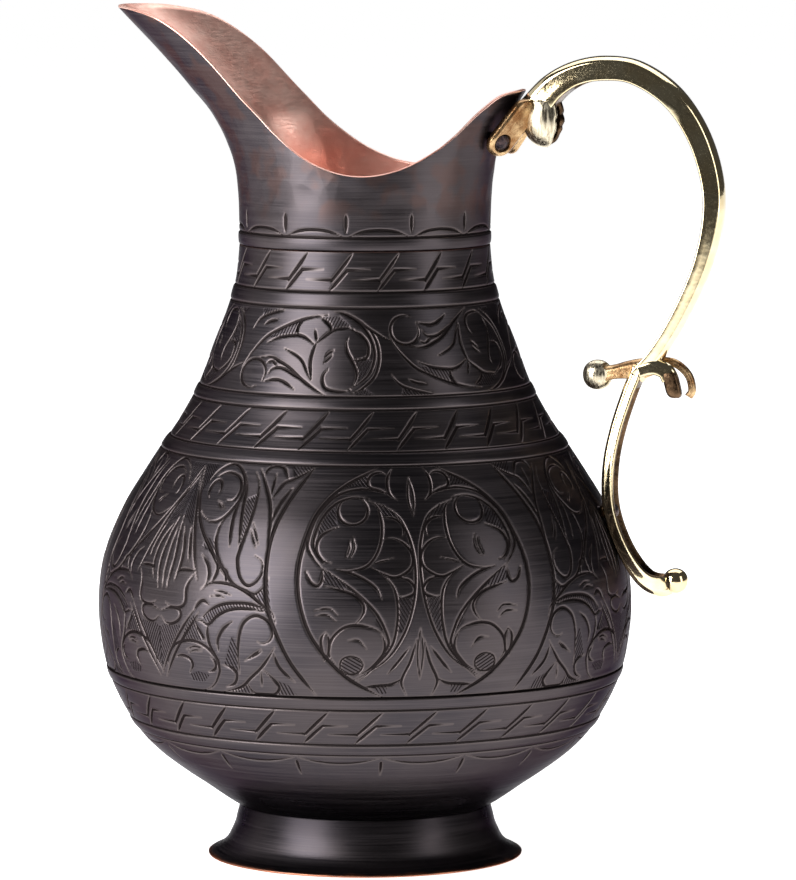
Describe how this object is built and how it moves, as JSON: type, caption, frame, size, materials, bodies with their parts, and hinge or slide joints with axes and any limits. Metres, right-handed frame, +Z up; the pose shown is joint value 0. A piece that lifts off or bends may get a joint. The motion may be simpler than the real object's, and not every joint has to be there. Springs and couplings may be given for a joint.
{
  "type": "water jug",
  "caption": "Engraved dark copper water jug with a drawn pouring spout, flared foot and a hollow-backed cast brass scroll handle.",
  "frame": {"origin": "centre of the standing ring of the foot, on the axis of the vessel", "axes": "+Z up along the vessel's axis, +X towards the handle, -X towards the spout, Y across"},
  "size_m": [0.2069, 0.175, 0.2786],
  "materials": {
    "patinated_copper": "dark brown-black patina, fine horizontal brushing, satin; bare copper inside",
    "bare_copper": "satin copper",
    "cast_brass": "polished outside, rough cast in the hollows",
    "dark_rivet": "oxidised, satin"
  },
  "bodies": {
    "root": {"lower_bowl": "patinated_copper", "upper_shell": "patinated_copper", "spout_collar": "patinated_copper", "foot_ring": "patinated_copper", "handle": "cast_brass", "rivet_near": "dark_rivet", "rivet_far": "dark_rivet", "rivet_lower": "dark_rivet", "burr_near": "bare_copper", "burr_far": "bare_copper", "burr_lower": "bare_copper"}
  },
  "joints": []
}
